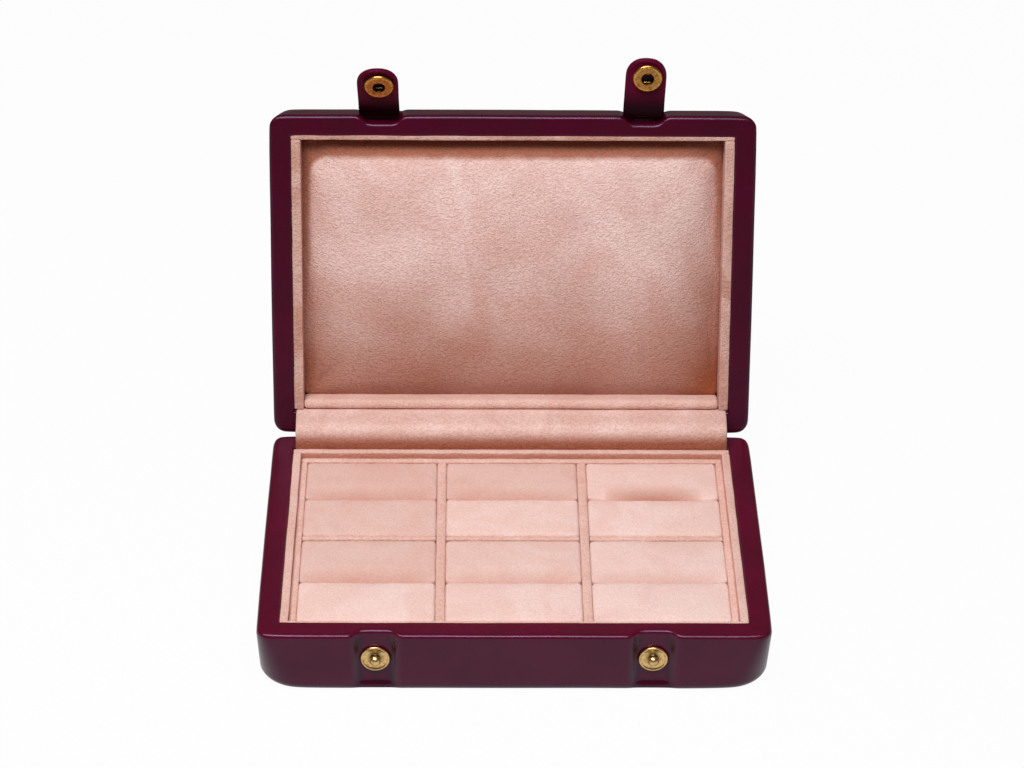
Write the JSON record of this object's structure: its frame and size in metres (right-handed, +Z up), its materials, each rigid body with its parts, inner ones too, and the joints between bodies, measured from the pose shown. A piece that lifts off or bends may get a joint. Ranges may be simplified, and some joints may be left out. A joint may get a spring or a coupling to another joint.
{
  "type": "jewellery case",
  "caption": "Flat leather-covered jewellery case with a hinged lid, suede ring pads in a tray, a cushioned lid and two snap straps.",
  "frame": {"origin": "centre of the underside of the base, on the surface that it stands on", "axes": "+X to the case's right seen from the front, +Y to the hinge at the back, +Z up; rest pose is the lid standing open on its stop with both straps up"},
  "size_m": [0.18, 0.1731, 0.1678],
  "materials": {
    "burgundy_leather": "smooth calf leather, deep burgundy with a soft sheen",
    "strap_leather": "smooth calf leather, folded and turned at the edges",
    "peach_suede": "microsuede over board, peach, fine brushed nap",
    "pad_suede": "microsuede over soft foam, peach, fine brushed nap",
    "hinge_suede": "microsuede cloth, peach, unbacked",
    "grey_board": "pressed fibre board, hidden",
    "polished_brass": "pressed snap hardware, lightly polished"
  },
  "bodies": {
    "base": {"base_carcass": "grey_board", "base_leather_cover": "burgundy_leather", "base_bottom_panel": "burgundy_leather", "base_lining_front": "peach_suede", "base_lining_back": "peach_suede", "base_lining_left": "peach_suede", "base_lining_right": "peach_suede", "tray_floor": "grey_board", "tray_wall_front": "peach_suede", "tray_wall_back": "peach_suede", "tray_wall_left": "peach_suede", "tray_wall_right": "peach_suede", "tray_column_divider_left": "peach_suede", "tray_column_divider_right": "peach_suede", "tray_row_divider_left": "peach_suede", "tray_row_divider_centre": "peach_suede", "tray_row_divider_right": "peach_suede", "ring_pad_front_left_near": "pad_suede", "ring_pad_front_left_far": "pad_suede", "ring_pad_front_centre_near": "pad_suede", "ring_pad_front_centre_far": "pad_suede", "ring_pad_front_right_near": "pad_suede", "ring_pad_front_right_far": "pad_suede", "ring_pad_rear_left_near": "pad_suede", "ring_pad_rear_left_far": "pad_suede", "ring_pad_rear_centre_near": "pad_suede", "ring_pad_rear_centre_far": "pad_suede", "ring_pad_rear_right_near": "pad_suede", "ring_pad_rear_right_far": "pad_suede", "snap_stud_left": "polished_brass", "snap_stud_right": "polished_brass", "stud_washer_left": "polished_brass", "stud_washer_right": "polished_brass", "hinge_cloth": "hinge_suede", "hinge_leather": "burgundy_leather"},
    "lid": {"lid_carcass": "grey_board", "lid_leather_cover": "burgundy_leather", "lid_lining_front": "peach_suede", "lid_lining_left": "peach_suede", "lid_lining_right": "peach_suede", "lid_hinge_shelf": "peach_suede", "lid_cushion_board": "grey_board", "lid_cushion": "pad_suede", "strap_anchor_left": "strap_leather", "strap_anchor_right": "strap_leather"},
    "strap_left": {"strap_left": "strap_leather", "snap_socket_left": "polished_brass", "snap_cap_left": "polished_brass"},
    "strap_right": {"strap_right": "strap_leather", "snap_socket_right": "polished_brass", "snap_cap_right": "polished_brass"}
  },
  "joints": [
    {"name": "lid_hinge", "type": "hinge", "parent": "base", "child": "lid", "pos_m": [0, 0.0624, 0.0253], "axis": [1, 0, 0], "range_deg": [0, 106.9], "deforming": ["hinge_cloth", "hinge_leather"]},
    {"name": "strap_left_hinge", "type": "hinge", "parent": "lid", "child": "strap_left", "pos_m": [-0.049, 0.10347, 0.14138], "axis": [1, 0, 0], "range_deg": [-44.5, 47.5], "stiffness_Nm_per_rad": 0.01},
    {"name": "strap_right_hinge", "type": "hinge", "parent": "lid", "child": "strap_right", "pos_m": [0.049, 0.10347, 0.14138], "axis": [1, 0, 0], "range_deg": [-27, 65], "stiffness_Nm_per_rad": 0.01}
  ]
}
